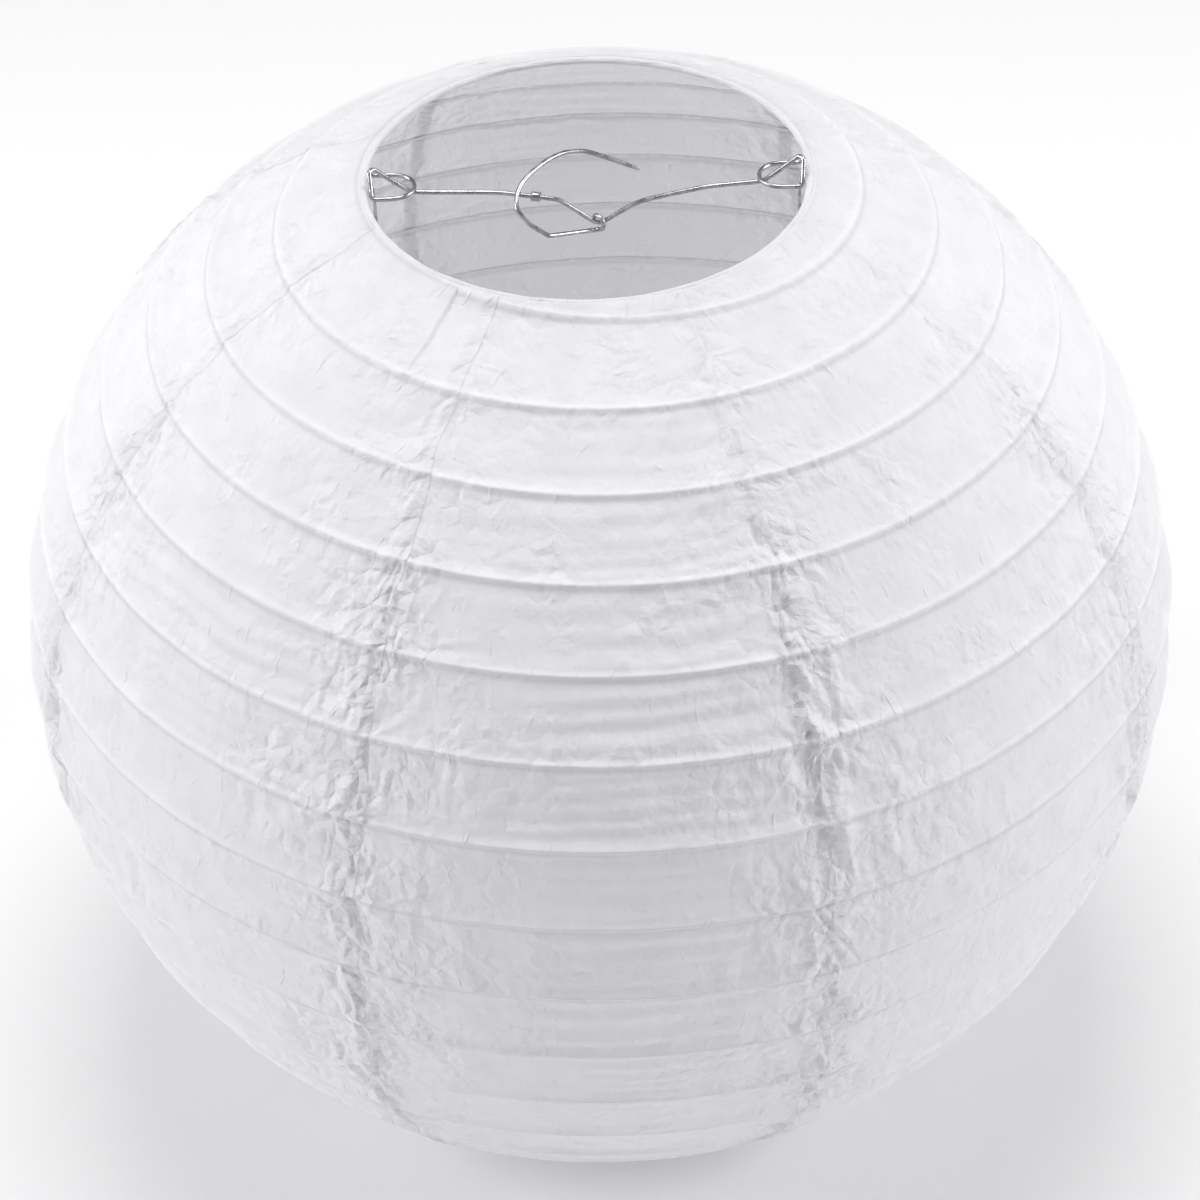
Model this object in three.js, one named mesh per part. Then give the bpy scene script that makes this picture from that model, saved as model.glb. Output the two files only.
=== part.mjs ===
// Accordion paper lantern, in millimetres, +Z up, standing on its bottom ring with the floor at z = 0.
// A spiral frame wire runs between two mouth rings, eight paper gores cover it, and a wire expander
// stands inside, holds it open and carries a hanging hook. The front is toward -Y.
import * as THREE from 'three';

// ---- Driving dimensions ----

const EQUATOR_RADIUS = 150;
const MOUTH_RADIUS = 55.2;
const RING_SPACING = 265.8; // between the two mouth rings
const SHOULDER_POWER = 0.94; // 1 is an ellipse, and less is a squarer shoulder

const SPIRAL_WIRE_RADIUS = 0.45; // steel wire with its skin of paste and paper
const RING_WIRE_RADIUS = 0.5;
const EXPANDER_WIRE_RADIUS = 0.6;
const WIRE_SIDES = 8;
const CLEAR = 0.3; // gap between neighbouring pieces

const TURNS = 16;
const LEAD_IN = 4.5; // extra length by which the spiral leaves one ring and meets the other

const GORES = 8;
const PAPER_THICKNESS = 0.2;
const PAPER_STANDOFF = 0.9; // from the wire's centre line to the paper's inner face
const SEAM_AZIMUTH = -24.5; // degrees from the front, positive toward +X
const STEPS_PER_GORE = 5;
const GORE_ROWS = 24;
const PAPER_STOPS_SHORT = 2.4; // how far above the bottom ring's plane, along the outside, the paper ends

const STEPS_PER_TURN = GORES * STEPS_PER_GORE;
const STEP_ANGLE = 360 / STEPS_PER_TURN;

// Heights of the expander's features, from the top ring's plane.
const BOTTOM_RING_Z = RING_WIRE_RADIUS;
const TOP_RING_Z = BOTTOM_RING_Z + RING_SPACING;
const CROSSBAR_Z = TOP_RING_Z - 3;
const CLIP_LOOP_Z = CROSSBAR_Z + 1.7;
const CLIP_PEAK_Z = CROSSBAR_Z + 7;
const DIP_DEPTH = 10.5;
const DIP_X = 2.6;
const DIP_ROUNDING = 0.7; // how far below the rounded V its sharp corner would be

// The crossbar's bends between its clips, by how far each one is below the bar's ends.
const BAR_BENDS = [
  { x: -22, drop: 0.8, bend: 12 },
  { x: -7, drop: 3.4, bend: 6 },
  { x: DIP_X, drop: DIP_DEPTH + DIP_ROUNDING, bend: 3 },
  { x: 12.5, drop: 4.6, bend: 8 },
  { x: 30, drop: 0.9, bend: 14 },
];

const CLIP_RISE_X = 43.5; // where the crossbar turns up toward the ring
const CLIP_PEAK_X = 52.2;
const CLIP_TURN = 1.2; // how far the wire runs round the ring's inside before it drops
const CLIP_REACH = 52.8; // how far out the clip loops and the legs stand
const CLIP_LOOP_RADIUS = 5.5;
const CLIP_TAIL = 0.5; // how far the loop's end and its middle stand beyond the legs
const LEG_TOP_Z = CLIP_LOOP_Z - EXPANDER_WIRE_RADIUS - CLEAR;
const FOOT_Z = BOTTOM_RING_Z + RING_WIRE_RADIUS + CLEAR + EXPANDER_WIRE_RADIUS;
const FOOT_REACH = MOUTH_RADIUS;

const SLEEVE_X = -12.7;
const SLEEVE_LENGTH = 2.4;
const SLEEVE_WALL = 0.4;
const SLEEVE_BORE = EXPANDER_WIRE_RADIUS + 0.2;

const EYE_RADIUS = 1.9;
const EYE_OPENS_AT = -60; // degrees round the eye, from the top of the hook
const EYE_ENDS_AT = 225;
const HOOK_AXIS_AZIMUTH = 41; // degrees from +X to the axis on which the hook tips
const HOOK_REST_TILT = 40; // degrees above level at which the toppled hook lies

// ---- Materials ----

const paperWhite = () => new THREE.MeshStandardMaterial({ color: 0xf1f0f3, roughness: 0.9, metalness: 0 });
const whiteWire = () => new THREE.MeshStandardMaterial({ color: 0xe6e5e8, roughness: 0.6, metalness: 0.1 });
const zincWire = () => new THREE.MeshStandardMaterial({ color: 0xb4b7ba, roughness: 0.35, metalness: 0.9 });

// ---- The globe's outline, as a length run down the outside from the top ring ----

const radians = THREE.MathUtils.degToRad;
const MOUTH_ANGLE = Math.asin((MOUTH_RADIUS / EQUATOR_RADIUS) ** (1 / SHOULDER_POWER));
const HALF_HEIGHT = RING_SPACING / 2;
const POLE_HEIGHT = HALF_HEIGHT / Math.cos(MOUTH_ANGLE);

function outlinePoint(angle) {
  return new THREE.Vector2(
    EQUATOR_RADIUS * Math.sin(angle) ** SHOULDER_POWER,
    BOTTOM_RING_Z + HALF_HEIGHT + POLE_HEIGHT * Math.cos(angle),
  );
}

class Outline extends THREE.Curve {
  getPoint(t, target = new THREE.Vector2()) {
    return target.copy(outlinePoint(THREE.MathUtils.lerp(MOUTH_ANGLE, Math.PI - MOUTH_ANGLE, t)));
  }
}

const outline = new Outline();
outline.arcLengthDivisions = 2000;
const OUTLINE_LENGTH = outline.getLength();

// The point at a length down the outline, moved out from the surface by a standoff.
// x is the radius and y the height.
function shell(length, standoff = 0) {
  const share = THREE.MathUtils.clamp(length / OUTLINE_LENGTH, 0, 1);
  const point = outline.getPointAt(share);
  const along = outline.getTangentAt(share);
  return new THREE.Vector2(point.x - along.y * standoff, point.y + along.x * standoff);
}

function aroundAxis(radius, z, azimuth) {
  const angle = radians(azimuth);
  return new THREE.Vector3(radius * Math.sin(angle), -radius * Math.cos(angle), z);
}

// ---- Wire ----

// A path through given points, sampled at exactly those points.
class BentWire extends THREE.Curve {
  constructor(points) {
    super();
    this.points = points;
  }

  getPoint(t, target = new THREE.Vector3()) {
    const place = t * (this.points.length - 1);
    const before = Math.min(Math.floor(place + 1e-6), this.points.length - 2);
    return target.lerpVectors(this.points[before], this.points[before + 1], place - before);
  }

  getPointAt(u, target) {
    return this.getPoint(u, target);
  }

  getTangentAt(u, target = new THREE.Vector3()) {
    const last = this.points.length - 1;
    const here = Math.round(u * last);
    target.set(0, 0, 0);
    for (const i of [here, here + 1]) {
      if (i > 0 && i <= last) {
        target.add(this.points[i].clone().sub(this.points[i - 1]).normalize());
      }
    }
    return target.normalize();
  }
}

function roundSection(radius, sides) {
  const section = new THREE.Shape();
  for (let i = 0; i < sides; i += 1) {
    const angle = (2 * Math.PI * (i + 0.5)) / sides;
    const [x, y] = [radius * Math.cos(angle), radius * Math.sin(angle)];
    if (i === 0) section.moveTo(x, y);
    else section.lineTo(x, y);
  }
  section.closePath();
  return section;
}

function wireThrough(points, radius) {
  const section = roundSection(radius, WIRE_SIDES);
  return new THREE.ExtrudeGeometry(section, { steps: points.length - 1, extrudePath: new BentWire(points) });
}

// The corners of a bent wire, each one given as { at, bend }, and rounded where it has a bend radius.
function roundCorners(corners) {
  const points = [corners[0].at];
  for (let i = 1; i < corners.length - 1; i += 1) {
    const { at, bend } = corners[i];
    if (!bend) {
      points.push(at);
      continue;
    }
    const back = corners[i - 1].at.clone().sub(at).normalize();
    const on = corners[i + 1].at.clone().sub(at).normalize();
    const turn = Math.PI - back.angleTo(on);
    const cut = bend * Math.tan(turn / 2);
    const start = at.clone().addScaledVector(back, cut);
    const end = at.clone().addScaledVector(on, cut);
    const pieces = Math.max(1, Math.ceil(turn / radians(22)));
    points.push(...new THREE.QuadraticBezierCurve3(start, at, end).getPoints(pieces));
  }
  points.push(corners.at(-1).at);
  return points;
}

// ---- Spiral frame ----

const FIRST_GAP = RING_WIRE_RADIUS + SPIRAL_WIRE_RADIUS + CLEAR;
const PITCH = (OUTLINE_LENGTH - 2 * FIRST_GAP - 2 * LEAD_IN) / TURNS;

// A level ring of wire with flats all round, so that a ring with eight of them can stand on the lowest.
function levelRing(radius, z, wireRadius, flats) {
  const cornerRadius = wireRadius / Math.cos(Math.PI / flats);
  const profile = [];
  for (let i = 0; i <= flats; i += 1) {
    const angle = (2 * Math.PI * ((i % flats) + 0.5)) / flats;
    profile.push(new THREE.Vector2(radius + cornerRadius * Math.cos(angle), cornerRadius * Math.sin(angle)));
  }
  const ring = new THREE.LatheGeometry(profile, STEPS_PER_TURN, radians(SEAM_AZIMUTH));
  return ring.rotateX(Math.PI / 2).translate(0, 0, z);
}

const mouthRing = (z) => levelRing(MOUTH_RADIUS, z, RING_WIRE_RADIUS, 8);

// Each turn of the spiral is drawn level, at the spiral's place halfway round that turn, so that the
// turns can close up flat as the real wire does.
function spiralTurn(index) {
  const at = shell(FIRST_GAP + LEAD_IN + PITCH * (index + 0.5));
  return levelRing(at.x, at.y, SPIRAL_WIRE_RADIUS, 6);
}

// ---- Paper gores ----

// A gore is a thin closed shell between two seams, from over the top ring to just short of the bottom one.
function paperGore(index) {
  const first = SEAM_AZIMUTH + (360 / GORES) * index;
  const layer = (STEPS_PER_GORE + 1) * (GORE_ROWS + 1);
  const positions = [];
  for (const standoff of [PAPER_STANDOFF + PAPER_THICKNESS, PAPER_STANDOFF]) {
    for (let row = 0; row <= GORE_ROWS; row += 1) {
      const at = shell(((OUTLINE_LENGTH - PAPER_STOPS_SHORT) * row) / GORE_ROWS, standoff);
      const inset = THREE.MathUtils.radToDeg(CLEAR / 2 / at.x);
      for (let i = 0; i <= STEPS_PER_GORE; i += 1) {
        const azimuth = first + THREE.MathUtils.clamp(STEP_ANGLE * i, inset, 360 / GORES - inset);
        positions.push(...aroundAxis(at.x, at.y, azimuth).toArray());
      }
    }
  }
  const corner = (inner, row, i) => inner * layer + row * (STEPS_PER_GORE + 1) + i;
  const faces = [];
  const quad = (a, b, c, d) => faces.push(a, b, c, a, c, d);
  for (let row = 0; row < GORE_ROWS; row += 1) {
    for (let i = 0; i < STEPS_PER_GORE; i += 1) {
      quad(corner(0, row, i), corner(0, row + 1, i), corner(0, row + 1, i + 1), corner(0, row, i + 1));
      quad(corner(1, row, i), corner(1, row, i + 1), corner(1, row + 1, i + 1), corner(1, row + 1, i));
    }
    const last = STEPS_PER_GORE;
    quad(corner(0, row, 0), corner(1, row, 0), corner(1, row + 1, 0), corner(0, row + 1, 0));
    quad(corner(0, row, last), corner(0, row + 1, last), corner(1, row + 1, last), corner(1, row, last));
  }
  for (let i = 0; i < STEPS_PER_GORE; i += 1) {
    const last = GORE_ROWS;
    quad(corner(0, 0, i), corner(0, 0, i + 1), corner(1, 0, i + 1), corner(1, 0, i));
    quad(corner(0, last, i), corner(1, last, i), corner(1, last, i + 1), corner(0, last, i + 1));
  }
  const geometry = new THREE.BufferGeometry();
  geometry.setAttribute('position', new THREE.Float32BufferAttribute(positions, 3));
  geometry.setIndex(faces);
  geometry.computeVertexNormals();
  return geometry;
}

// ---- Expander ----

// One end of the crossbar: the bar rises to a peak inside the ring, drops to the front of the clip loop,
// and the loop comes round over the bar to the back, where the leg goes down. side is 1 or -1.
function clipCorners(side) {
  const at = (x, y, z) => new THREE.Vector3(side * x, y, z);
  const loopCentreX = CLIP_REACH - CLIP_LOOP_RADIUS + CLIP_TAIL;
  const corners = [
    { at: at(CLIP_RISE_X, 0, CROSSBAR_Z), bend: 4 },
    { at: at(CLIP_PEAK_X, 0, CLIP_PEAK_Z), bend: 0.8 },
    { at: at(CLIP_REACH + CLIP_TAIL, -CLIP_TURN, CLIP_PEAK_Z), bend: 0.8 },
    { at: at(CLIP_REACH, -CLIP_LOOP_RADIUS, CLIP_LOOP_Z), bend: 1.2 },
  ];
  for (let i = 0; i <= 8; i += 1) {
    const angle = (Math.PI * i) / 8;
    const x = loopCentreX - CLIP_LOOP_RADIUS * Math.sin(angle);
    corners.push({ at: at(x, -CLIP_LOOP_RADIUS * Math.cos(angle), CLIP_LOOP_Z) });
  }
  corners.push({ at: at(CLIP_REACH + CLIP_TAIL, CLIP_LOOP_RADIUS, CLIP_LOOP_Z) });
  return corners;
}

const barPoint = (x, drop) => new THREE.Vector3(x, 0, CROSSBAR_Z - drop);

// The crossbar sags gently toward a V in which the hook's eye sits.
function crossbar() {
  const middle = BAR_BENDS.map(({ x, drop, bend }) => ({ at: barPoint(x, drop), bend }));
  const corners = [...clipCorners(-1).reverse(), ...middle, ...clipCorners(1)];
  return wireThrough(roundCorners(corners), EXPANDER_WIRE_RADIUS);
}

// The expander is bent from one wire, whose two ends meet in the crossbar inside a short crimped sleeve.
function crossbarSleeve() {
  const [outer, inner] = BAR_BENDS;
  const slope = (inner.drop - outer.drop) / (inner.x - outer.x);
  const centre = barPoint(SLEEVE_X, outer.drop + slope * (SLEEVE_X - outer.x));
  const [half, edge, outside] = [SLEEVE_LENGTH / 2, SLEEVE_WALL / 3, SLEEVE_BORE + SLEEVE_WALL];
  const profile = [
    [SLEEVE_BORE, -half],
    [outside - edge, -half],
    [outside, edge - half],
    [outside, half - edge],
    [outside - edge, half],
    [SLEEVE_BORE, half],
    [SLEEVE_BORE, -half],
  ];
  const sleeve = new THREE.LatheGeometry(profile.map(([x, y]) => new THREE.Vector2(x, y)), 20);
  return sleeve.rotateZ(-Math.PI / 2).rotateY(Math.atan(slope)).translate(...centre.toArray());
}

// A leg drops from its clip loop and turns out over the bottom ring, which its foot holds down.
function leg(side) {
  const at = (x, z) => new THREE.Vector3(side * x, CLIP_LOOP_RADIUS, z);
  const reachInX = Math.sqrt(FOOT_REACH ** 2 - CLIP_LOOP_RADIUS ** 2);
  const corners = [
    { at: at(CLIP_REACH, LEG_TOP_Z) },
    { at: at(CLIP_REACH, FOOT_Z), bend: 1.2 },
    { at: at(reachInX, FOOT_Z) },
  ];
  return wireThrough(roundCorners(corners), EXPANDER_WIRE_RADIUS);
}

// ---- Hanging hook ----

// The hook's own frame: the axis that it tips on, the line that the load takes, and the square to both.
const upward = new THREE.Vector3(0, 0, 1);
const hookAxis = new THREE.Vector3(1, 0, 0).applyAxisAngle(upward, radians(HOOK_AXIS_AZIMUTH));
const hookLoad = upward.clone().applyAxisAngle(hookAxis, radians(HOOK_REST_TILT - 90));
const hookSide = hookAxis.clone().cross(hookLoad);
const dipPoint = barPoint(DIP_X, DIP_DEPTH);

function hookPoint(across, up, out = 0) {
  const inPlane = dipPoint.clone().addScaledVector(hookAxis, across).addScaledVector(hookLoad, up);
  return inPlane.addScaledVector(hookSide, out);
}

// An open eye round the crossbar's V, a stem to one side, a wide bow and a straight tip.
function hangingHook() {
  const corners = [];
  const eyeSteps = 14;
  for (let i = 0; i <= eyeSteps; i += 1) {
    const angle = radians(THREE.MathUtils.lerp(EYE_OPENS_AT, EYE_ENDS_AT, i / eyeSteps));
    corners.push({ at: hookPoint(0, EYE_RADIUS * Math.cos(angle), EYE_RADIUS * Math.sin(angle)) });
  }
  corners.push({ at: hookPoint(-0.4, -1, -2.2), bend: 0.5 });
  corners.push({ at: hookPoint(-14.6, 2.6), bend: 1.6 });
  const bow = new THREE.CatmullRomCurve3([
    hookPoint(-17.6, 7.2),
    hookPoint(-18.2, 12.4),
    hookPoint(-14.2, 16.8),
    hookPoint(-6, 19.3),
    hookPoint(2, 19.5),
    hookPoint(8.6, 17.2),
  ]);
  corners.push(...bow.getPoints(22).map((at) => ({ at })));
  corners.push({ at: hookPoint(19.1, 7) });
  return wireThrough(roundCorners(corners), EXPANDER_WIRE_RADIUS);
}

// ---- Assembly ----

const lantern = new THREE.Group();

function add(name, geometry, material) {
  const mesh = new THREE.Mesh(geometry, material);
  mesh.name = name;
  lantern.add(mesh);
}

add('bottom_ring', mouthRing(BOTTOM_RING_Z), whiteWire());
add('top_ring', mouthRing(TOP_RING_Z), whiteWire());
for (let index = 0; index < TURNS; index += 1) {
  const number = String(index + 1).padStart(2, '0');
  add(`spiral_turn_${number}`, spiralTurn(index), whiteWire());
}
for (let index = 0; index < GORES; index += 1) {
  add(`paper_gore_${index + 1}`, paperGore(index), paperWhite());
}
add('crossbar', crossbar(), zincWire());
add('crossbar_sleeve', crossbarSleeve(), zincWire());
add('left_leg', leg(-1), zincWire());
add('right_leg', leg(1), zincWire());
add('hanging_hook', hangingHook(), zincWire());

export default lantern;
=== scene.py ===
"""Accordion paper lantern: crumpled rice paper over a white spiral wire, with a zinc-plated expander
and hook.

Metres, +Z up, the front toward -Y. Lengths down the outside are counted from the top ring, and azimuths
are in radians from the front, positive toward +X.
"""

import math

import bmesh
import bpy
import numpy as np
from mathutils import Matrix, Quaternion, Vector


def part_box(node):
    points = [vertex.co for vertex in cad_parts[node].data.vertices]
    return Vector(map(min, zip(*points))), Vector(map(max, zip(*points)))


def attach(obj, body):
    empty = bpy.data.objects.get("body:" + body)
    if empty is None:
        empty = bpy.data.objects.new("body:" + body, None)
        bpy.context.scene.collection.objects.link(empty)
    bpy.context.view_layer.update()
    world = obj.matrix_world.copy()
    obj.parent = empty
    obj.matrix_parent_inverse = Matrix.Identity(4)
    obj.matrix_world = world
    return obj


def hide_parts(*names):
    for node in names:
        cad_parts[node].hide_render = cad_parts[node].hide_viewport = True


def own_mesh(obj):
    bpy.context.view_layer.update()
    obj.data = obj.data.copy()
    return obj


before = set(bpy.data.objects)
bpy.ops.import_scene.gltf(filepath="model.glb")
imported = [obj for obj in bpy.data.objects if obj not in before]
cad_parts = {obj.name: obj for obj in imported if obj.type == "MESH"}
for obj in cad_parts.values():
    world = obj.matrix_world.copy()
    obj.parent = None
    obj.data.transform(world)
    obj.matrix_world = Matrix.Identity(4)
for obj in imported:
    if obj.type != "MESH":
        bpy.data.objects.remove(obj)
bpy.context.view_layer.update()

MM = 0.001

# ---- Driving dimensions, shared with the CAD ----

EQUATOR_RADIUS = 150 * MM
MOUTH_RADIUS = 55.2 * MM
SHOULDER_POWER = 0.94
RING_WIRE_RADIUS = 0.5 * MM
SPIRAL_WIRE_RADIUS = 0.45 * MM
CLEAR = 0.3 * MM
TURNS = 16
LEAD_IN = 4.5 * MM  # extra length by which the spiral leaves one ring and meets the other
LEAD_TURNS = 0.3  # part of a turn over which it does so
SPIRAL_START = math.radians(-33.5)
GORES = 8
GORE_ANGLE = 2 * math.pi / GORES
SEAM_AZIMUTH = math.radians(-24.5)

TOP_RING_Z = (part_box("top_ring")[0].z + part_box("top_ring")[1].z) / 2
BOTTOM_RING_Z = (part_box("bottom_ring")[0].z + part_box("bottom_ring")[1].z) / 2
MIDDLE_Z = (TOP_RING_Z + BOTTOM_RING_Z) / 2

# ---- Paper ----

PAPER_OVER_WIRE = 0.62 * MM  # from a wire's centre line to the paper's outer face
PAPER_OVER_RING = 0.95 * MM
GORE_ENDS = 0.45 * MM  # how far past a mouth ring's centre a gore ends, to clear the ring when folded
LAP = 4 * MM  # how far neighbouring gores lie over one another
LAP_STEP = 0.16 * MM
HEM_WIDTH = 4.6 * MM  # how far down the outside the turned paper shows through
HEM_RAGGED = 0.5 * MM
HEM_STEP = 0.10 * MM
HEM_STEP_WIDTH = 0.7 * MM
HEM_FLAP = 5 * MM  # how far down inside the mouth the turned paper reaches
HEM_TURN = np.radians(np.linspace(-40, 205, 26))  # from the outside over the ring, from the outward direction
HEM_PASTED, HEM_LOOSE = 0.6, 1.6  # how much of its pucker the hem shows over the ring, and at its free edge
HEM_COLUMNS = 720
HEM_ROW = 0.4 * MM  # paper from one row of a hem to the next
MOUTH_HOLD = 3 * MM  # how far from a mouth the ring still holds the paper

# ---- How finely the gores are drawn ----

GORE_COLUMNS = 200
SEAM_CROWDING = 0.25  # 0 spaces a gore's columns evenly, and 1 crowds them against the seams
BAND_ROWS = 27
RIB_CROWDING = 0.5  # 0 spaces a band's rows evenly, and 1 crowds them against the ribs
LEAD_SHARPNESS = 12  # how soon, past the spiral's end, the rows let go of it and follow the ring
LEAST_GAP = 0.001 * MM

# ---- How the paper lies between the ribs ----

RIB_DROP = 0.68 * MM  # how far the paper falls away beside a rib
DROP_UNDER_RIB = 0.5 * MM  # the length over which it falls, sharply under a rib
DROP_OVER_RIB = 0.9 * MM  # and gently over one
RING_DROP = 0.3  # the share of that fall beside a mouth ring
BOW = 0.25 * MM  # how far a band bows inward halfway between its ribs
BOW_VARIES = 0.3
FULLNESS_POWER = 1.5  # how fast the fall and the bow shrink in a band narrower than the pitch
HELD_BY_RIB = 2.5 * MM  # how far from a rib the paste keeps the paper flat
# how far from a rib the paper is whiter: the doubled, pasted paper's own white and a painted highlight on the
# rib bead
PASTE_AND_HIGHLIGHT_WIDTH = 1.1 * MM
PAINTED_SHADE_UNDER_RIB = 1.25 * MM  # how far under a rib the painted shade line is darkest
PAINTED_SHADE_WIDTH = 0.55 * MM

# ---- Seams ----

SEAM_STRAY = 1.3 * MM  # how far a seam strays sideways
SEAM_WAVES = (3.1 * MM, 5.7 * MM, 11 * MM)
SEAM_BULGE = 0.25 * MM
BULGE_WIDTH = 5 * MM
BULGE_COUNT = 60
SEAM_WRINKLES = 5  # on each side of a seam at each rib

# ---- Crumples and creases ----

CALM_TO = 25 * MM  # how far down the outside the paper stays calm
LIVELY_OVER = 80 * MM  # the further length over which it grows lively
CALM_SHARE = 0.3
SEAM_SPREAD = 9 * MM  # half the width of the crushed strip along a seam
CRUSH_REACH = 36 * MM  # how far from a seam lighter crumples still reach
LIGHT_CRUSH = 0.42
CRUMPLES = (  # spacing, slope all over, further slope where fully crushed, seed
    (14 * MM, 0.022, 0.03, 21),
    (6 * MM, 0.024, 0.28, 22),
    (3.2 * MM, 0.024, 0.38, 24),
)
FACET_STRETCH = 2  # how many times taller than wide the facets are
PATCH_CRUMPLE = (8 * MM, 0.12, 23)  # spacing, slope and seed of the crumples that come in patches
PLEAT_SPACING = 2.8 * MM
PLEAT_SLOPE = 0.26
PLEAT_STRAY = 0.5 * MM
STRAY_CREASES = 190  # on each gore
FORKED_SHARE = 0.35

# ---- Seeds of the random shapes ----

BOW_SEED = 11
PATCH_SEED = 12
PLEAT_STRAY_SEED = 13
PLEATED_SEED = 14
HEM_EDGE_SEED = 15
SPREAD_SEED = 16
PLEAT_SEED = 31
HEM_SWELL_SEED = 41
HEM_CRUMPLE_SEED = 42
SEAM_COURSE_SEED = 300
BULGE_SEED = 500
WRINKLE_SEED = 700
CREASE_SEED = 900

# ---- Wires ----

SPIRAL_STEPS = 200  # along each turn
ROUNDING_LOSS = 0.06 * MM  # by which rounding an eight-sided wire thins it
WELD = 0.01 * MM

# ---- Camera ----

CAMERA_ELEVATION = math.radians(38.4)
CAMERA_DISTANCE = 1.10
CAMERA_LENS = 124.2
CAMERA_SENSOR = 36
CAMERA_ROLL = math.radians(1.8)

# ---- Studio ----

FLOOR_REACH = 12
LAMPS = (  # name, place, size, watts
    ("overhead", (0.0, 0.15, 1.5), 0.7, 9.5),
    ("left_side", (-1.5, -0.1, 0.85), 0.7, 14.5),
    ("right_side", (1.5, -0.1, 0.85), 0.7, 13.5),
)
LAMP_TARGET = (0, 0, 0.13)
SKY_COLOUR = (0.97, 0.975, 1.0, 1)
SKY_STRENGTH = 0.32


# ---- Outline of the globe ----


def smooth(x):
    """Rises gently from 0 to 1 as x does, and is level beyond."""
    x = np.clip(x, 0, 1)
    return x * x * (3 - 2 * x)


def at_least(least, share):
    """A share from 0 to 1, brought up to run from the least to 1."""
    return least + (1 - least) * share


def fading(distance, reach):
    """1 at no distance, falling to nothing past the reach."""
    return np.exp(-((distance / reach) ** 2))


def outline_tables():
    """The lengths down the outside, and the radius, height and outward direction at each."""
    half_height = (TOP_RING_Z - BOTTOM_RING_Z) / 2
    mouth_angle = math.asin((MOUTH_RADIUS / EQUATOR_RADIUS) ** (1 / SHOULDER_POWER))
    angle = np.linspace(mouth_angle, math.pi - mouth_angle, 4001)
    radius = EQUATOR_RADIUS * np.sin(angle) ** SHOULDER_POWER
    height = MIDDLE_Z + half_height * np.cos(angle) / math.cos(mouth_angle)
    steps = np.hypot(np.diff(radius), np.diff(height))
    length = np.concatenate([[0], np.cumsum(steps)])
    along_r, along_z = np.gradient(radius, length), np.gradient(height, length)
    return length, radius, height, -along_z, along_r


LENGTHS, RADII, HEIGHTS, OUT_R, OUT_Z = outline_tables()
OUTLINE_LENGTH = LENGTHS[-1]


def shell(length, standoff=0.0):
    """Radius and height at a length down the outside, moved out by a standoff."""
    radius = np.interp(length, LENGTHS, RADII) + standoff * np.interp(length, LENGTHS, OUT_R)
    height = np.interp(length, LENGTHS, HEIGHTS) + standoff * np.interp(length, LENGTHS, OUT_Z)
    return radius, height


def around_axis(radius, height, azimuth):
    """Points at given radii, heights and azimuths, as an array with x, y and z last."""
    return np.stack([radius * np.sin(azimuth), -radius * np.cos(azimuth), height + 0 * azimuth], axis=-1)


# ---- The spiral, counted in turns from its start at the top ring ----

FIRST_GAP = RING_WIRE_RADIUS + SPIRAL_WIRE_RADIUS + CLEAR
PITCH = (OUTLINE_LENGTH - 2 * FIRST_GAP - 2 * LEAD_IN) / TURNS


def spiral_length(turn):
    """How far down the outside the spiral is after so many turns."""
    leads = smooth(turn / LEAD_TURNS) + smooth((turn - TURNS + LEAD_TURNS) / LEAD_TURNS)
    return FIRST_GAP + PITCH * turn + LEAD_IN * leads


TURN_TABLE = np.linspace(-1, TURNS + 1, 6001)
TURN_LENGTHS = spiral_length(TURN_TABLE)


def ribs_beside(azimuth, length):
    """The lengths of the ribs, or rings, just above and just below each point."""
    start = (azimuth - SPIRAL_START) / (2 * math.pi)
    above = start + np.floor(np.interp(length, TURN_LENGTHS, TURN_TABLE) - start)
    below = above + 1
    above_length = np.where(above < 0, 0, spiral_length(above))
    below_length = np.where(below > TURNS, OUTLINE_LENGTH, spiral_length(below))
    return above_length, below_length


# ---- Random shapes of crumpled paper ----

REACH = 0.6  # further than any point is from the origin


def swell(points, wavelength, seed, waves=9):
    """Smooth noise of about unit size that varies over a wavelength."""
    draw = np.random.default_rng(seed)
    total = np.zeros(len(points))
    for _ in range(waves):
        direction = draw.normal(size=3)
        direction *= 2 * math.pi / (wavelength * draw.uniform(0.7, 1.6) * np.linalg.norm(direction))
        total += np.sin(points @ direction + draw.uniform(0, 2 * math.pi))
    return total * math.sqrt(2 / waves)


def zigzag(x, spacing, draw):
    """Folds a line back and forth at random creases, about a spacing apart."""
    count = int(2 * REACH / spacing)
    creases = np.cumsum(draw.uniform(0.5, 1.5, count)) * spacing - REACH
    peaks = draw.uniform(0.3, 0.7, count) * spacing * (-1) ** np.arange(count)
    return np.interp(x, creases, peaks)


def crumple(points, spacing, seed, folds=4):
    """Heights of paper that was folded in random directions, then opened: flat facets of unit slope."""
    draw = np.random.default_rng(seed)
    folded = points - [0, 0, MIDDLE_Z]
    folded[:, 2] /= FACET_STRETCH
    for _ in range(folds):
        direction = draw.normal(size=3)
        direction /= np.linalg.norm(direction)
        along = folded @ direction
        folded += np.outer(zigzag(along, spacing, draw) - along, direction)
    direction = draw.normal(size=3)
    return zigzag(folded @ (direction / np.linalg.norm(direction)), spacing, draw)


def raise_crease(height, across, down, size, place, heading, length, width, bend):
    """Raises a sharp ridge of a size from a place along a heading, tapered at both ends, on the heights."""
    near = (np.abs(down - place[1]) < length) & (np.abs(across - place[0]) < length)
    x, y = across[near] - place[0], down[near] - place[1]
    along = x * math.cos(heading) + y * math.sin(heading)
    beside = y * math.cos(heading) - x * math.sin(heading) - bend * along * along
    share = along / length
    taper = np.clip(np.minimum(share * 6, (1 - share) * 2.2), 0, 1)
    ridge = size * taper * np.clip(1 - np.abs(beside) / width, 0, 1)
    height[near] = np.maximum(height[near], ridge)


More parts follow.
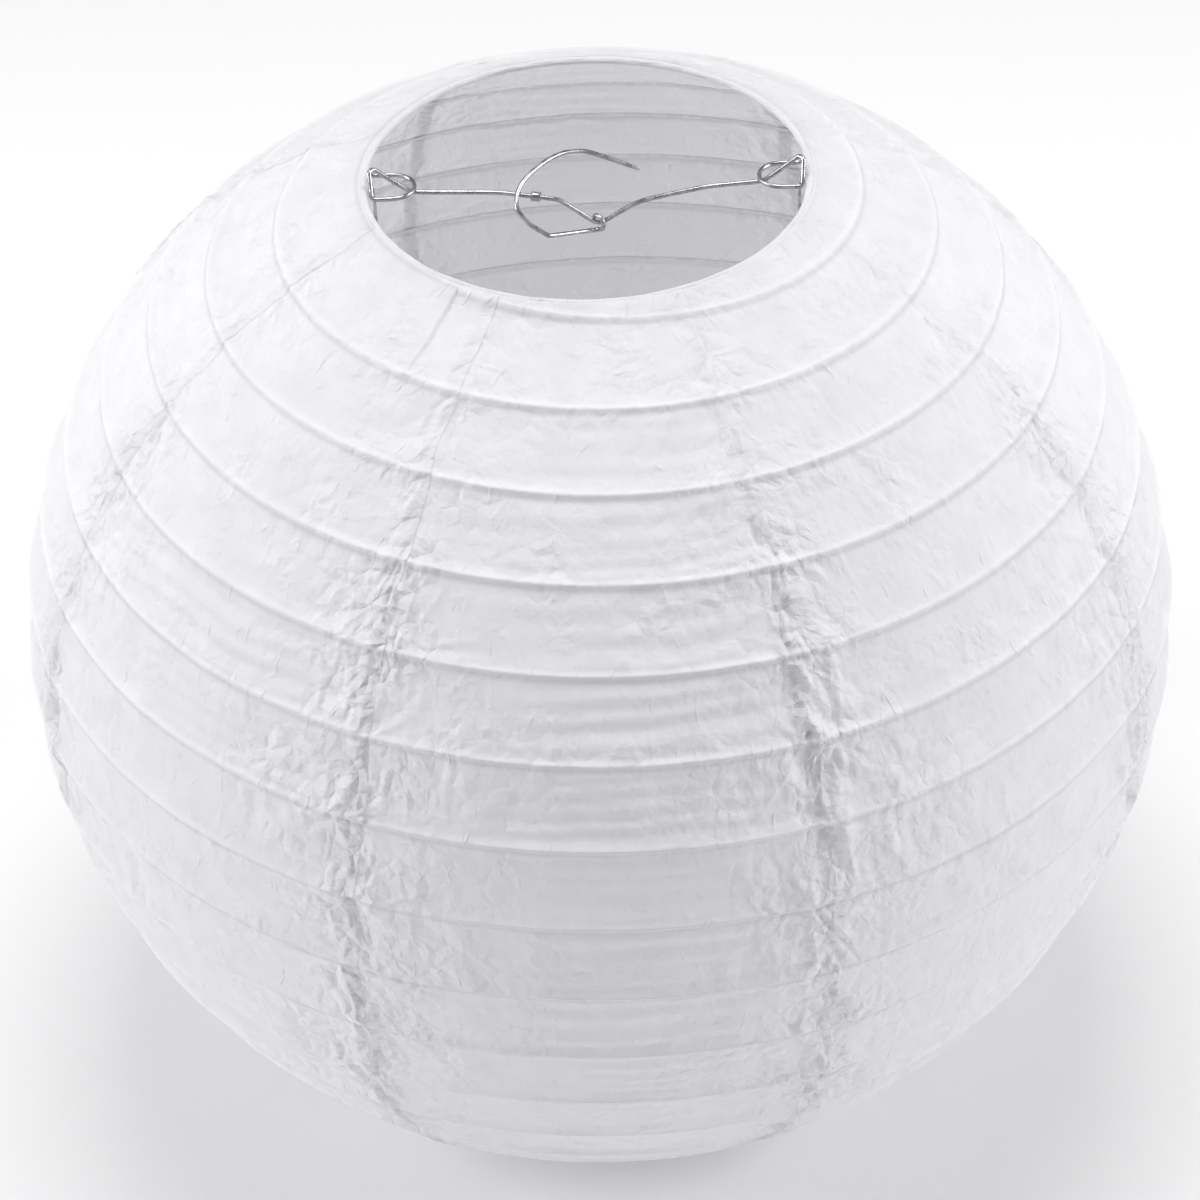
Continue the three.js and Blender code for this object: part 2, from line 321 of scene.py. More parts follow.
def seam_wrinkles(across, down, seam):
    """Wrinkles that fan out along the ribs from each place where a rib crosses a seam."""
    draw = np.random.default_rng(WRINKLE_SEED + seam)
    azimuth = SEAM_AZIMUTH + GORE_ANGLE * seam
    start = (azimuth - SPIRAL_START) / (2 * math.pi) % 1
    height = np.zeros(len(across))
    for turn in range(TURNS):
        rib = float(spiral_length(start + turn))
        vigour = at_least(0.35, float(smooth((rib - 30 * MM) / (90 * MM))))
        for side in (-1, 1):
            for _ in range(SEAM_WRINKLES):
                place = (draw.normal(0, 1.5 * MM), rib + draw.normal(0, 2.2 * MM))
                lean = draw.normal(0, math.radians(17))
                heading = lean if side > 0 else math.pi - lean
                length = draw.uniform(8, 38) * MM
                width = draw.uniform(0.7, 1.5) * MM
                size = draw.uniform(0.15, 0.65) * MM * vigour
                bend = draw.normal(0, 2.5)
                raise_crease(height, across, down, size, place, heading, length, width, bend)
    return height


def seam_bulge(across, down, seam):
    """How far the doubled paper of a seam stands out or in, from place to place."""
    draw = np.random.default_rng(BULGE_SEED + seam)
    places = np.linspace(0, OUTLINE_LENGTH, BULGE_COUNT)
    bulge = np.interp(down, places, draw.normal(0, SEAM_BULGE, BULGE_COUNT))
    return bulge * fading(across, BULGE_WIDTH)


def stray_creases(across, down, gore):
    """Short creases scattered over a gore, mostly upright, some of them forked."""
    draw = np.random.default_rng(CREASE_SEED + gore)
    height = np.zeros(len(across))
    for _ in range(STRAY_CREASES):
        start = draw.uniform(14 * MM, OUTLINE_LENGTH - 8 * MM)
        room = np.interp(start, LENGTHS, RADII) * GORE_ANGLE / 2 - 9 * MM
        place = (draw.uniform(-room, room), start)
        heading = draw.normal(math.pi / 2, 0.5)
        length = draw.uniform(3, 12) * MM
        vigour = at_least(0.35, float(smooth((start - 20 * MM) / (90 * MM))))
        size = draw.uniform(0.14, 0.42) * MM * vigour
        width = draw.uniform(0.5, 0.9) * MM
        forks = 2 if draw.uniform() < FORKED_SHARE else 1
        for fork in range(forks):
            turned = heading + fork * draw.choice([-1, 1]) * draw.uniform(0.5, 1.2)
            bend = draw.normal(0, 12)
            raise_crease(height, across, down, size, place, turned, length, width, bend)
    return height


# ---- Meshes ----


def mesh_object(name, points, quads):
    """A new object from points and four-cornered faces."""
    mesh = bpy.data.meshes.new(name)
    mesh.vertices.add(len(points))
    mesh.vertices.foreach_set("co", np.asarray(points, np.float32).ravel())
    mesh.loops.add(quads.size)
    mesh.loops.foreach_set("vertex_index", quads.astype(np.int32).ravel())
    mesh.polygons.add(len(quads))
    mesh.polygons.foreach_set("loop_start", np.arange(0, quads.size, 4, dtype=np.int32))
    mesh.polygons.foreach_set("use_smooth", np.full(len(quads), True))
    mesh.update(calc_edges=True)
    mesh.validate()
    piece = bpy.data.objects.new(name, mesh)
    bpy.context.scene.collection.objects.link(piece)
    return piece


def grid_quads(rows, columns, wrap_rows=False, wrap_columns=False):
    """Faces over points in rows and columns, with the last joined to the first where wrapped."""
    row = np.arange(rows if wrap_rows else rows - 1)[:, None]
    column = np.arange(columns if wrap_columns else columns - 1)[None, :]
    next_row, next_column = (row + 1) % rows, (column + 1) % columns
    corners = [row * columns + column, next_row * columns + column]
    corners += [next_row * columns + next_column, row * columns + next_column]
    return np.stack(corners, axis=-1).reshape(-1, 4)


def set_uv(piece, uv, around=0.0):
    """One UV map from a pair of numbers for each vertex; around is how far it runs where the mesh closes."""
    layer = piece.data.uv_layers.new(name="sheet")
    corners = np.zeros(len(piece.data.loops), np.int32)
    piece.data.loops.foreach_get("vertex_index", corners)
    corner_uv = uv[corners].reshape(-1, 4, 2)
    begins = corner_uv[..., 0] < corner_uv[..., 0].max(axis=1, keepdims=True) - around / 2
    corner_uv[..., 0] += np.where(begins, around, 0)
    layer.data.foreach_set("uv", corner_uv.astype(np.float32).ravel())


def set_value(piece, name, values):
    """A named number at each vertex, for the material to read."""
    attribute = piece.data.attributes.new(name, "FLOAT", "POINT")
    attribute.data.foreach_set("value", values.astype(np.float32))


def tube(name, path, radius, sides=10):
    """A closed round wire along a path that doesn't close on itself."""
    along = np.gradient(path, axis=0)
    along /= np.linalg.norm(along, axis=1)[:, None]
    side = np.cross(along, [0, 0, 1])
    side /= np.linalg.norm(side, axis=1)[:, None]
    up = np.cross(side, along)
    angle = np.linspace(0, 2 * math.pi, sides, endpoint=False)
    ring = side[:, None] * np.cos(angle)[None, :, None] + up[:, None] * np.sin(angle)[None, :, None]
    points = (path[:, None] + radius * ring).reshape(-1, 3)
    piece = mesh_object(name, points, grid_quads(len(path), sides, wrap_columns=True))
    built = bmesh.new()
    built.from_mesh(piece.data)
    built.verts.ensure_lookup_table()
    last = (len(path) - 1) * sides
    built.faces.new([built.verts[i] for i in range(sides)])
    built.faces.new([built.verts[last + i] for i in reversed(range(sides))])
    bmesh.ops.recalc_face_normals(built, faces=built.faces)
    built.to_mesh(piece.data)
    built.free()
    return piece


# ---- Materials ----


class Nodes:
    """A short way to write a material's nodes."""

    def __init__(self, name):
        self.material = bpy.data.materials.new(name)
        self.material.use_nodes = True
        self.tree = self.material.node_tree
        self.tree.nodes.clear()
        self.output = self.tree.nodes.new("ShaderNodeOutputMaterial")

    def add(self, kind, inputs=None, **settings):
        node = self.tree.nodes.new(kind)
        for key, value in settings.items():
            setattr(node, key, value)
        for key, value in (inputs or {}).items():
            self.put(node.inputs[key], value)
        return node

    def put(self, socket, value):
        if isinstance(value, bpy.types.NodeSocket):
            self.tree.links.new(value, socket)
        else:
            socket.default_value = value

    def math(self, operation, a, b=0.0, clamp=False):
        return self.add("ShaderNodeMath", {0: a, 1: b}, operation=operation, use_clamp=clamp).outputs[0]

    def ramp(self, value, low, high, to_low=0.0, to_high=1.0):
        inputs = {"Value": value, "From Min": low, "From Max": high, "To Min": to_low, "To Max": to_high}
        return self.add("ShaderNodeMapRange", inputs, interpolation_type="SMOOTHSTEP").outputs["Result"]

    def mix(self, factor, a, b):
        node = self.add("ShaderNodeMix", data_type="RGBA")
        self.put(node.inputs["Factor"], factor)
        self.put(node.inputs["A"], a)
        self.put(node.inputs["B"], b)
        return node.outputs["Result"]

    def noise(self, vector, scale, detail=3.0, roughness=0.5):
        inputs = {"Vector": vector, "Scale": scale, "Detail": detail, "Roughness": roughness}
        return self.add("ShaderNodeTexNoise", inputs).outputs["Fac"]

    def stretched(self, vector, turn, stretch):
        """The vector turned about Z, then drawn out along its own x."""
        inputs = {"Vector": vector, "Rotation": (0, 0, turn), "Scale": (1 / stretch, 1, 1)}
        return self.add("ShaderNodeMapping", inputs).outputs["Vector"]


UV_SPAN = 0.4  # metres of paper from 0 to 1 of the UV map

PULP_THICK = (0.885, 0.883, 0.90, 1)
PULP_THIN = (0.925, 0.923, 0.932, 1)
FIBRE_COLOUR = (0.945, 0.945, 0.948, 1)
# whiter over a rib: the pasted paper's own white and a painted highlight on the bead
PASTE_AND_HIGHLIGHT_COLOUR = (0.945, 0.945, 0.95, 1)
# painted shade: the dark line under each rib
PAINTED_RIB_SHADE_COLOUR = (0.62, 0.62, 0.64, 1)
THROUGH_COLOUR = (0.92, 0.92, 0.94, 1)
FIBRE_TURNS = (0.3, 1.25, 2.35)  # the ways the long fibres lie, in radians
CRUSH_CELLS = ((170, 0.40), (330, 0.22))  # fine crush marks: cells in a metre, and their slope


def paper_colour(n, grain, fibres, paste_and_highlight, painted_rib_shade):
    """Cloudy white, brighter along fibres; whiter over a rib, partly the doubled pasted paper's own white and
    partly a painted highlight on the rib bead; and painted shade in a thin line under a rib.
    """
    colour = n.mix(n.ramp(grain, 0.34, 0.66), PULP_THICK, PULP_THIN)
    colour = n.mix(n.math("MULTIPLY", fibres, 0.10, True), colour, FIBRE_COLOUR)
    # whiter over each rib: partly the doubled pasted paper, partly a painted highlight on the bead
    colour = n.mix(n.math("MULTIPLY", paste_and_highlight, 0.80, True), colour, PASTE_AND_HIGHLIGHT_COLOUR)
    # painted shade in a thin line under each rib, where the paper falls away below the wire
    return n.mix(n.math("MULTIPLY", painted_rib_shade, 0.60, True), colour, PAINTED_RIB_SHADE_COLOUR)


def crush_marks(n, sheet, crush):
    """Heights in millimetres of crumples too fine for the mesh: small facets, and thin upright lines."""
    shift = n.add("ShaderNodeTexNoise", {"Vector": sheet, "Scale": 300.0, "Detail": 2.0}).outputs["Color"]
    shift = n.add("ShaderNodeVectorMath", {0: shift, "Scale": 0.0016}, operation="SCALE").outputs["Vector"]
    bent = n.add("ShaderNodeVectorMath", {0: sheet, 1: shift}, operation="ADD").outputs["Vector"]
    patches = n.ramp(n.noise(sheet, 60, 2), 0.40, 0.66)
    amount = n.math("ADD", n.math("MULTIPLY", patches, 0.30), crush, True)
    facets = 0.0
    for cells, slope in CRUSH_CELLS:
        cell = n.add("ShaderNodeTexVoronoi", {"Vector": bent, "Scale": cells}, feature="DISTANCE_TO_EDGE")
        cell_height = n.math("MULTIPLY", cell.outputs["Distance"], slope / cells / MM)
        facets = n.math("ADD", facets, cell_height)
    facets = n.math("MULTIPLY", facets, n.math("ADD", 0.05, n.math("MULTIPLY", amount, 0.95)))
    upright = n.add("ShaderNodeMapping", {"Vector": bent, "Scale": (1, 0.4, 1)}).outputs["Vector"]
    lines = n.add("ShaderNodeTexVoronoi", {"Vector": upright, "Scale": 130}, feature="DISTANCE_TO_EDGE")
    lines = n.ramp(lines.outputs["Distance"], 0.0, 0.06, 1.0, 0.0)
    lines = n.math("MULTIPLY", lines, n.ramp(n.noise(sheet, 170, 2), 0.52, 0.66))
    return n.math("ADD", facets, n.math("MULTIPLY", lines, 0.16))


def paper_material(name):
    """Thin mulberry paper: cloudy pulp, long fibres, fine crush marks, and light that comes through it."""
    n = Nodes(name)
    uv = n.add("ShaderNodeUVMap", uv_map="sheet").outputs["UV"]
    sheet = n.add("ShaderNodeVectorMath", {0: uv, "Scale": UV_SPAN}, operation="SCALE").outputs["Vector"]
    crush = n.add("ShaderNodeAttribute", attribute_name="crush").outputs["Fac"]
    paste_and_highlight = n.add("ShaderNodeAttribute", attribute_name="paste_and_highlight").outputs["Fac"]
    painted_rib_shade = n.add("ShaderNodeAttribute", attribute_name="painted_rib_shade").outputs["Fac"]
    clouds = n.noise(sheet, 110, 4, 0.6)
    pulp = n.noise(sheet, 900, 5, 0.65)
    grain = n.math("ADD", n.math("MULTIPLY", clouds, 0.55), n.math("MULTIPLY", pulp, 0.45))
    fibres = 0.0
    for turn in FIBRE_TURNS:
        strand = n.noise(n.stretched(sheet, turn, 14), 2600, 2, 0.5)
        fibres = n.math("ADD", fibres, n.ramp(strand, 0.60, 0.72))
    height = n.math("ADD", crush_marks(n, sheet, crush), n.math("MULTIPLY", pulp, 0.035))
    height = n.math("ADD", height, n.math("MULTIPLY", fibres, 0.010))
    bump = n.add("ShaderNodeBump", {"Height": height, "Strength": 1.0, "Distance": MM}).outputs["Normal"]
    surface = n.add("ShaderNodeBsdfPrincipled", {"Normal": bump})
    n.put(surface.inputs["Base Color"], paper_colour(n, grain, fibres, paste_and_highlight, painted_rib_shade))
    n.put(surface.inputs["Roughness"], n.ramp(pulp, 0.3, 0.7, 0.62, 0.80))
    surface.inputs["Specular IOR Level"].default_value = 0.28
    through = n.add("ShaderNodeBsdfTranslucent", {"Color": THROUGH_COLOUR, "Normal": bump})
    share = n.ramp(grain, 0.34, 0.66, 0.40, 0.30)
    share = n.math("SUBTRACT", share, n.math("MULTIPLY", paste_and_highlight, 0.12), True)
    mixed = n.add("ShaderNodeMixShader", {0: share, 1: surface.outputs["BSDF"], 2: through.outputs["BSDF"]})
    n.put(n.output.inputs["Surface"], mixed.outputs["Shader"])
    return n.material


def white_wire_material():
    """Steel wire under a skin of dried paste and paper."""
    n = Nodes("white_wire_skin")
    place = n.add("ShaderNodeTexCoord").outputs["Object"]
    blotches = n.noise(place, 500, 4)
    colour = n.mix(n.ramp(blotches, 0.4, 0.7), (0.83, 0.82, 0.81, 1), (0.91, 0.905, 0.90, 1))
    surface = n.add("ShaderNodeBsdfPrincipled", {"Base Color": colour})
    n.put(surface.inputs["Roughness"], n.ramp(blotches, 0.3, 0.7, 0.5, 0.75))
    bump = n.add("ShaderNodeBump", {"Height": n.noise(place, 2500, 3), "Strength": 0.3, "Distance": 0.1 * MM})
    n.put(surface.inputs["Normal"], bump.outputs["Normal"])
    n.put(n.output.inputs["Surface"], surface.outputs["BSDF"])
    return n.material


def zinc_material():
    """Bright zinc plate on drawn steel wire, a little cloudy and scratched."""
    n = Nodes("zinc_plate")
    place = n.add("ShaderNodeTexCoord").outputs["Object"]
    clouds = n.noise(place, 320, 4, 0.6)
    scratches = n.noise(n.stretched(place, 0.0, 9), 5200, 3, 0.7)
    colour = n.mix(n.ramp(clouds, 0.35, 0.7), (0.36, 0.37, 0.38, 1), (0.56, 0.565, 0.57, 1))
    colour = n.mix(n.ramp(scratches, 0.66, 0.90), colour, (0.30, 0.30, 0.31, 1))
    surface = n.add("ShaderNodeBsdfPrincipled", {"Base Color": colour})
    surface.inputs["Metallic"].default_value = 1.0
    n.put(surface.inputs["Roughness"], n.ramp(clouds, 0.3, 0.7, 0.20, 0.36))
    bump = n.add("ShaderNodeBump", {"Height": scratches, "Strength": 0.25, "Distance": 0.05 * MM})
    n.put(surface.inputs["Normal"], bump.outputs["Normal"])
    n.put(n.output.inputs["Surface"], surface.outputs["BSDF"])
    return n.material


PAPER = paper_material("rice_paper_sheet")
WHITE_WIRE = white_wire_material()
ZINC = zinc_material()


def finish_piece(piece, material):
    piece.data.materials.clear()
    piece.data.materials.append(material)


# ---- Spiral wire ----


def spiral_wire():
    turn = np.linspace(0, TURNS, TURNS * SPIRAL_STEPS + 1)
    radius, height = shell(spiral_length(turn))
    azimuth = SPIRAL_START + 2 * math.pi * turn
    piece = tube("spiral_wire", around_axis(radius, height, azimuth), SPIRAL_WIRE_RADIUS)
    finish_piece(piece, WHITE_WIRE)
    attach(piece, "base")
    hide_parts(*[f"spiral_turn_{number:02d}" for number in range(1, TURNS + 1)])
    fold(piece)
    return piece


def fold(piece):
    """Gives the piece a copy of its mesh, its own."""
    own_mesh(piece)


# ---- Gores ----


def crowd_ends(share, crowding):
    """Even shares from 0 to 1, moved toward both ends."""
    return share - crowding * np.sin(2 * math.pi * share) / (2 * math.pi)


def gore_rows(azimuth):
    """Lengths of a gore's rows at each azimuth, crowded against the ribs, as rows by columns."""
    start = (azimuth - SPIRAL_START) / (2 * math.pi)
    crosses = start.min() < 0 < start.max()
    base = start if crosses else start - math.floor(start.min())
    supports = [np.full_like(base, GORE_ENDS)]
    for turn in range(TURNS + 1 if crosses else TURNS):
        at = base + turn
        early = np.exp(-np.clip(-at, 0, None) * LEAD_SHARPNESS)
        late = np.exp(-np.clip(at - TURNS, 0, None) * LEAD_SHARPNESS)
        before = GORE_ENDS + (FIRST_GAP - GORE_ENDS) * early
        after = OUTLINE_LENGTH - GORE_ENDS - (FIRST_GAP - GORE_ENDS) * late
        length = spiral_length(np.clip(at, 0, TURNS))
        supports.append(np.where(at < 0, before, np.where(at > TURNS, after, length)))
    supports.append(np.full_like(base, OUTLINE_LENGTH - GORE_ENDS))
    crowded = crowd_ends(np.linspace(0, 1, BAND_ROWS, endpoint=False), RIB_CROWDING)
    rows = [a + (b - a) * share for a, b in zip(supports, supports[1:]) for share in crowded]
    rows.append(supports[-1])
    return np.array(rows)


def seam_wander(length, seam):
    """How far a seam strays sideways from its straight course."""
    draw = np.random.default_rng(SEAM_COURSE_SEED + seam)
    stray = sum(np.sin(length / wave + draw.uniform(0, 6.3)) for wave in SEAM_WAVES) / len(SEAM_WAVES)
    hold = smooth(length / (40 * MM)) * smooth((OUTLINE_LENGTH - length) / (20 * MM))
    return stray * SEAM_STRAY * hold


def gore_grid(index):
    """A gore's lengths down the outside, radii and azimuths, as rows by columns."""
    first = SEAM_AZIMUTH + GORE_ANGLE * index
    share = crowd_ends(np.linspace(0, 1, GORE_COLUMNS + 1), SEAM_CROWDING)
    length = gore_rows(first + GORE_ANGLE * share)
    radius, _ = shell(length)
    left = seam_wander(length, index) - LAP / 2
    right = seam_wander(length, (index + 1) % GORES) + LAP / 2
    azimuth = first + GORE_ANGLE * share + (left * (1 - share) + right * share) / radius
    return length, radius, azimuth


def over_wire(distance):
    """A distance from a rib that starts off slowly, as paper does over a round wire."""
    return np.hypot(distance, SPIRAL_WIRE_RADIUS) - SPIRAL_WIRE_RADIUS


class Band:
    """Where points lie between the ribs or rings above and below them, and the chord between those."""

    def __init__(self, length, azimuth):
        above, below = ribs_beside(azimuth, length)
        at_top, at_bottom = above <= 0, below >= OUTLINE_LENGTH
        gap = np.maximum(below - above, LEAST_GAP)
        self.share = np.clip((length - above) / gap, 0, 1)
        self.from_above = self.share * gap
        self.from_below = (1 - self.share) * gap
        self.from_rib = np.minimum(self.from_above, self.from_below)
        self.fullness = np.clip(gap / PITCH, 0, 1) ** FULLNESS_POWER
        self.drop = RIB_DROP * np.where(at_top | at_bottom, RING_DROP, 1)
        above_radius, above_height = shell(above, np.where(at_top, PAPER_OVER_RING, PAPER_OVER_WIRE))
        below_radius, below_height = shell(below, np.where(at_bottom, PAPER_OVER_RING, PAPER_OVER_WIRE))
        self.radius = above_radius + (below_radius - above_radius) * self.share
        self.height = above_height + (below_height - above_height) * self.share

    def sag(self, points):
        """How far taut paper lies inside the chord."""
        under = 1 - np.exp(-over_wire(self.from_above) / DROP_UNDER_RIB)
        over = 1 - np.exp(-over_wire(self.from_below) / DROP_OVER_RIB)
        bow = BOW * 4 * self.share * (1 - self.share) * (1 + BOW_VARIES * swell(points, 60 * MM, BOW_SEED))
        return (self.drop * under * over + bow) * self.fullness


def crush_pattern(points, to_seam, patchy):
    """How crushed the paper is, from 0 to 1: most along the seams, and lightly in patches beside them."""
    spread = SEAM_SPREAD * np.clip(1 + 0.45 * swell(points, 22 * MM, SPREAD_SEED), 0.35, 2)
    return np.maximum(fading(to_seam, spread), LIGHT_CRUSH * patchy * fading(to_seam, CRUSH_REACH))


def crumples(points, crushed, patchy):
    """Heights of all the crumples."""
    spacing, slope, seed = PATCH_CRUMPLE
    height = slope * patchy * crumple(points, spacing, seed)
    for spacing, slope, crushed_slope, seed in CRUMPLES:
        height += (slope + crushed_slope * crushed) * crumple(points, spacing, seed)
    return height


def pleats(points, length):
    """Heights of the small folds that run along the ribs, here and there."""
    line = length + PLEAT_STRAY * swell(points, 35 * MM, PLEAT_STRAY_SEED)
    folds = zigzag(line, PLEAT_SPACING, np.random.default_rng(PLEAT_SEED))
    return PLEAT_SLOPE * folds * smooth(0.5 + 0.5 * swell(points, 70 * MM, PLEATED_SEED))


def gore(index):
    length, radius, azimuth = gore_grid(index)
    shape = length.shape
    length, radius, azimuth = length.ravel(), radius.ravel(), azimuth.ravel()
    band = Band(length, azimuth)
    points = around_axis(band.radius, band.height, azimuth)
    from_left = radius * (azimuth - SEAM_AZIMUTH - GORE_ANGLE * index)
    from_right = from_left - radius * GORE_ANGLE
    middle = (from_left + from_right) / 2
    from_mouth = np.minimum(length, OUTLINE_LENGTH - length)

    lively = at_least(CALM_SHARE, smooth((length - CALM_TO) / LIVELY_OVER))
    patchy = smooth(0.5 + 0.45 * swell(points, 45 * MM, PATCH_SEED))
    to_seam = np.minimum(np.abs(from_left), np.abs(from_right))
    crushed = lively * crush_pattern(points, to_seam, patchy)
    free = smooth(band.from_rib / HELD_BY_RIB)

    height = -band.sag(points)
    height += at_least(0.2, free) * crumples(points, crushed, patchy * lively)
    height += at_least(0.2, free) * pleats(points, length) * lively * (1 - crushed)
    for seam, across in ((index, from_left), ((index + 1) % GORES, from_right)):
        height += at_least(0.35, free) * seam_wrinkles(across, length, seam)
        height += free * lively * seam_bulge(across, length, seam)
    height += at_least(0.4, free) * stray_creases(middle, length, index)
    height += LAP_STEP * smooth((from_right + LAP) / LAP)
    hem_edge = HEM_WIDTH + HEM_RAGGED * swell(points, 25 * MM, HEM_EDGE_SEED)
    height += HEM_STEP * (1 - smooth((from_mouth - hem_edge) / HEM_STEP_WIDTH + 0.5))
    height *= at_least(0.3, smooth(from_mouth / MOUTH_HOLD))

    out_r, out_z = np.interp(length, LENGTHS, OUT_R), np.interp(length, LENGTHS, OUT_Z)
    points = around_axis(band.radius + out_r * height, band.height + out_z * height, azimuth)
    piece = mesh_object(f"gore_{index + 1}", points, grid_quads(*shape))
    set_uv(piece, np.stack([0.5 + middle / UV_SPAN, length / UV_SPAN], axis=-1))
    set_value(piece, "crush", np.clip(crushed, 0, 1))
    # over each rib: the pasted paper's own white with a painted highlight, and less light through it
    set_value(piece, "paste_and_highlight", fading(band.from_rib, PASTE_AND_HIGHLIGHT_WIDTH))
    # painted shade in a thin line under each rib
    set_value(piece, "painted_rib_shade", band.fullness * fading(band.from_above - PAINTED_SHADE_UNDER_RIB, PAINTED_SHADE_WIDTH))
    finish_piece(piece, PAPER)
    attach(piece, "base")
    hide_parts(f"paper_gore_{index + 1}")
    fold(piece)
    return piece


# ---- Hems: the paper's ends, folded over each mouth ring and pasted down inside ----


def hem(name, body, ring_z, upward):
    """upward is 1 for the top ring and -1 for the bottom one."""
    out_r, out_z = OUT_R[0], OUT_Z[0]
    along_r, along_z = out_z, -out_r
    over_r = PAPER_OVER_RING * (np.cos(HEM_TURN) * out_r - np.sin(HEM_TURN) * along_r)
    over_z = PAPER_OVER_RING * (np.cos(HEM_TURN) * out_z - np.sin(HEM_TURN) * along_z)
    flap = np.linspace(0.6 * MM, HEM_FLAP, 10)
    section_r = MOUTH_RADIUS + np.concatenate([over_r, over_r[-1] + along_r * flap])
    section_z = np.concatenate([over_z, over_z[-1] + along_z * flap])
    pasted = np.full(len(HEM_TURN), HEM_PASTED)
    loose = np.concatenate([pasted, np.linspace(HEM_PASTED, HEM_LOOSE, len(flap))])

    rows = len(section_r)
    azimuth = np.repeat(np.linspace(0, 2 * math.pi, HEM_COLUMNS, endpoint=False), rows)
    points = around_axis(np.tile(section_r, HEM_COLUMNS), np.tile(section_z, HEM_COLUMNS), azimuth)
    pucker = 0.06 * MM * swell(points, 9 * MM, HEM_SWELL_SEED)
    pucker += 0.04 * crumple(points, 9 * MM, HEM_CRUMPLE_SEED)
    points[:, :2] *= (1 + pucker * np.tile(loose, HEM_COLUMNS) / MOUTH_RADIUS)[:, None]
    points[:, 2] = ring_z + upward * points[:, 2]
    piece = mesh_object(name, points, grid_quads(HEM_COLUMNS, rows, wrap_rows=True))
    down = np.tile(np.arange(rows) * HEM_ROW, HEM_COLUMNS)
    uv = np.stack([azimuth * MOUTH_RADIUS, down], axis=-1) / UV_SPAN
    set_uv(piece, uv, 2 * math.pi * MOUTH_RADIUS / UV_SPAN)
    # the hem gets a little crush, and no painted highlight or painted shade
    for value, amount in (("crush", 0.1), ("paste_and_highlight", 0.0), ("painted_rib_shade", 0.0)):
        set_value(piece, value, np.full(len(points), amount))
    finish_piece(piece, PAPER)
    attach(piece, body)
    return piece


# ---- Expander and hook: the CAD wires, made round ----


def round_wire(node, body, name):
    """The CAD wire with its flat-sided section made round, at the wire's full thickness."""
    built = bmesh.new()
    built.from_mesh(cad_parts[node].data)
    bmesh.ops.remove_doubles(built, verts=built.verts, dist=WELD)
    built.normal_update()
    diagonals = []
    for edge in built.edges:
        longest = [max(face.edges, key=lambda side: side.calc_length()) for face in edge.link_faces]
        if len(longest) == 2 and longest[0] is edge and longest[1] is edge:
            diagonals.append(edge)
    bmesh.ops.dissolve_edges(built, edges=diagonals, use_verts=False)
    built.normal_update()
    for vertex in built.verts:
        vertex.co += vertex.normal * ROUNDING_LOSS
    mesh = bpy.data.meshes.new(name)
    built.to_mesh(mesh)
    built.free()
    mesh.polygons.foreach_set("use_smooth", np.full(len(mesh.polygons), True))
    piece = bpy.data.objects.new(name, mesh)
    bpy.context.scene.collection.objects.link(piece)
    rounding = piece.modifiers.new("rounding", "SUBSURF")
    rounding.levels = rounding.render_levels = 2
    finish_piece(piece, ZINC)
    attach(piece, body)
    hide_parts(node)
    return piece


spiral = spiral_wire()
gores = [gore(index) for index in range(GORES)]
top_hem = hem("top_hem", "top_rim", TOP_RING_Z, 1)
bottom_hem = hem("bottom_hem", "base", BOTTOM_RING_Z, -1)
for node in ("top_ring", "bottom_ring"):
    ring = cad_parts[node]
    ring.data.materials.clear()
    ring.data.materials.append(WHITE_WIRE)

round_wire("crossbar", "expander", "crossbar_wire")
round_wire("crossbar_sleeve", "expander", "crossbar_sleeve_wire")
round_wire("left_leg", "left_leg", "left_leg_wire")
round_wire("right_leg", "right_leg", "right_leg_wire")
round_wire("hanging_hook", "hook", "hanging_hook_wire")


# ---- Floor, light and camera ----


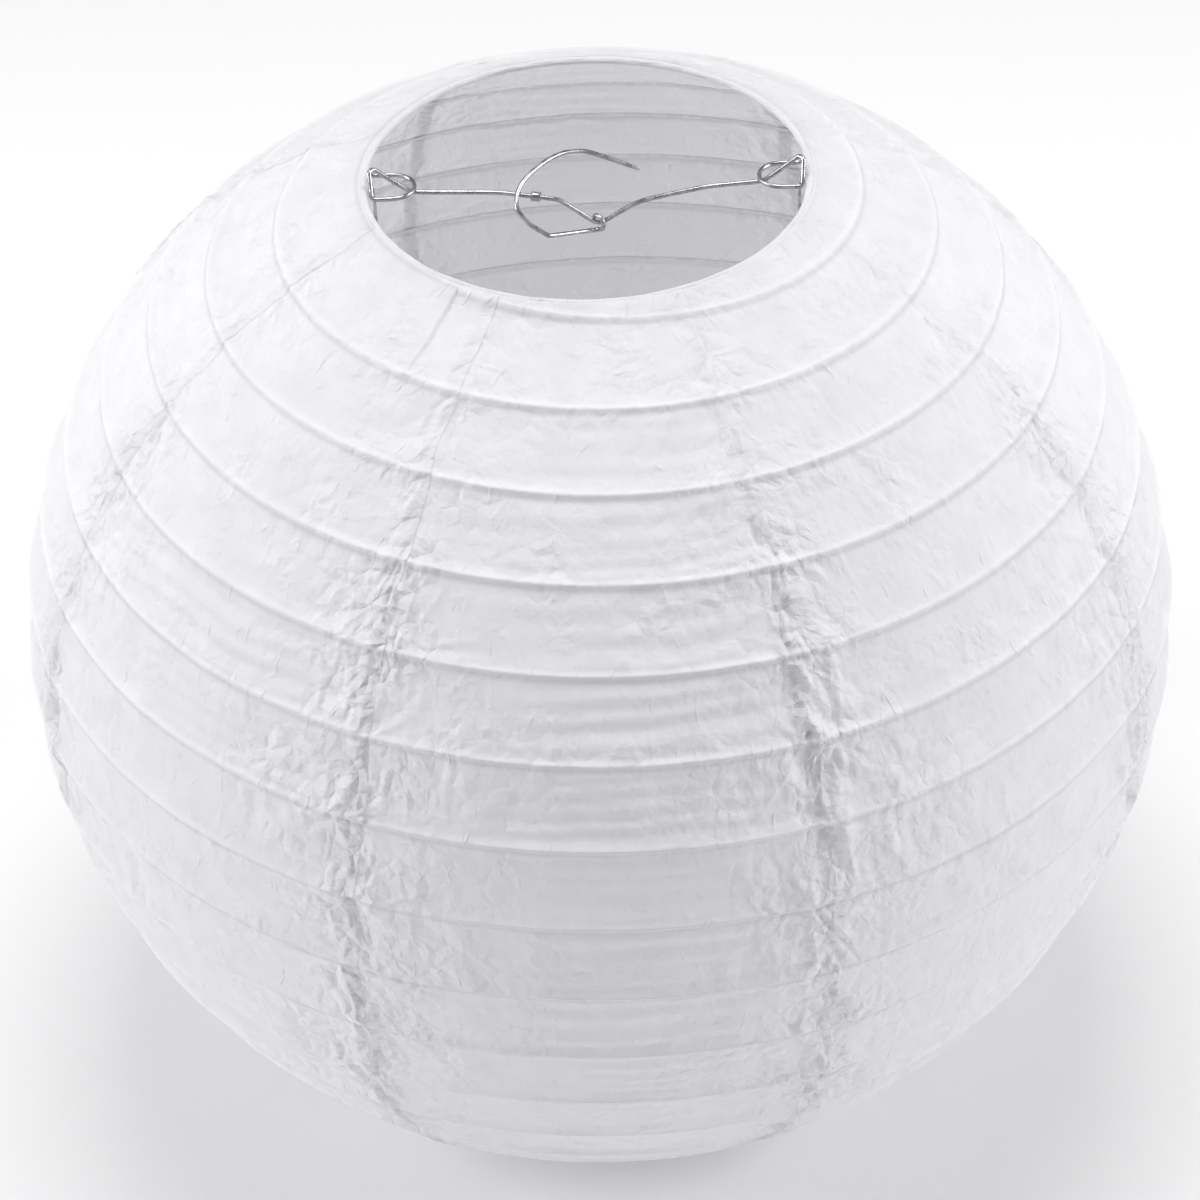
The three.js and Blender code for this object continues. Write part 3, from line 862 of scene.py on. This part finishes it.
def floor():
    n = Nodes("studio_floor")
    place = n.add("ShaderNodeTexCoord").outputs["Object"]
    colour = n.mix(n.noise(place, 3.0, 2), (0.93, 0.93, 0.93, 1), (0.95, 0.95, 0.95, 1))
    surface = n.add("ShaderNodeBsdfPrincipled", {"Base Color": colour, "Roughness": 0.9})
    n.put(n.output.inputs["Surface"], surface.outputs["BSDF"])
    mesh = bpy.data.meshes.new("floor")
    corners = [(x * FLOOR_REACH, y * FLOOR_REACH, 0) for x, y in ((-1, -1), (1, -1), (1, 1), (-1, 1))]
    mesh.from_pydata(corners, [], [(0, 1, 2, 3)])
    mesh.materials.append(n.material)
    plane = bpy.data.objects.new("floor", mesh)
    bpy.context.scene.collection.objects.link(plane)


def softbox(name, place, size, watts):
    light = bpy.data.lights.new(name, "AREA")
    light.shape = "SQUARE"
    light.size = size
    light.energy = watts
    lamp = bpy.data.objects.new(name, light)
    lamp.location = place
    lamp.rotation_euler = (Vector(LAMP_TARGET) - Vector(place)).to_track_quat("-Z", "Y").to_euler()
    bpy.context.scene.collection.objects.link(lamp)


def sky():
    world = bpy.data.worlds.new("studio")
    world.use_nodes = True
    background = world.node_tree.nodes["Background"]
    background.inputs["Color"].default_value = SKY_COLOUR
    background.inputs["Strength"].default_value = SKY_STRENGTH
    bpy.context.scene.world = world


def camera():
    """Looks down at the lantern's middle from the front, turned a little about its line of sight."""
    lens = bpy.data.cameras.new("camera")
    lens.sensor_width = CAMERA_SENSOR
    lens.lens = CAMERA_LENS
    viewer = bpy.data.objects.new("camera", lens)
    bpy.context.scene.collection.objects.link(viewer)
    back = Vector((0, -math.cos(CAMERA_ELEVATION), math.sin(CAMERA_ELEVATION)))
    viewer.location = Vector((0, 0, MIDDLE_Z)) + back * CAMERA_DISTANCE
    viewer.rotation_mode = "QUATERNION"
    viewer.rotation_quaternion = (-back).to_track_quat("-Z", "Y") @ Quaternion((0, 0, 1), -CAMERA_ROLL)
    bpy.context.scene.camera = viewer


floor()
for lamp_settings in LAMPS:
    softbox(*lamp_settings)
sky()
camera()
bpy.context.scene.view_settings.view_transform = "Standard"
bpy.context.scene.view_settings.look = "None"
